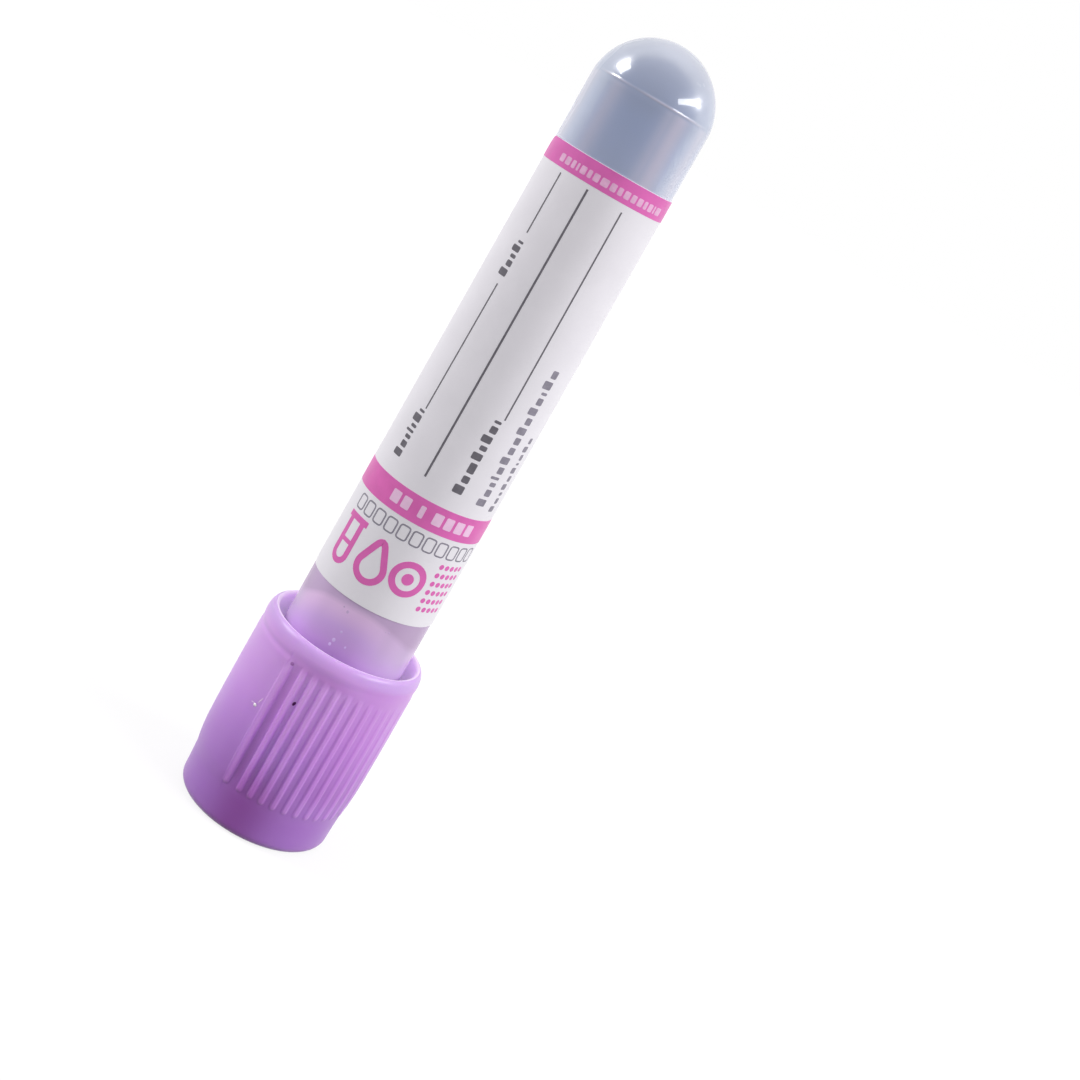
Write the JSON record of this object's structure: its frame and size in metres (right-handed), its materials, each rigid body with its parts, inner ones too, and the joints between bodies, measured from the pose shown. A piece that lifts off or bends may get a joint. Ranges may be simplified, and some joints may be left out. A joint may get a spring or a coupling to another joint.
{
  "type": "blood collection tube",
  "caption": "Clear round-ended sample tube with a printed wrap label, closed by a ribbed lavender safety shield that holds a rubber stopper.",
  "frame": {"origin": "centre of the shield's closed end, the face that the tube stands on", "axes": "+Z along the axis from the shield's closed end to the tube's round end; -Y is the side where the label's printed fields face"},
  "size_m": [0.0166, 0.0166, 0.084],
  "materials": {
    "clear_plastic": "clear, moulded, slightly hazy",
    "label_film": "printed film, white with pink bands and grey rules",
    "rubber": "smooth mauve rubber",
    "shield_plastic": "translucent lavender polyethylene, satin"
  },
  "bodies": {
    "closure": {"cap_shield": "shield_plastic", "stopper": "rubber"},
    "tube": {"tube": "clear_plastic", "label": "label_film"}
  },
  "joints": [
    {"name": "tube_pull", "type": "slide", "parent": "closure", "child": "tube", "axis": [0, 0, 1], "range_m": [0, 0.03]}
  ]
}
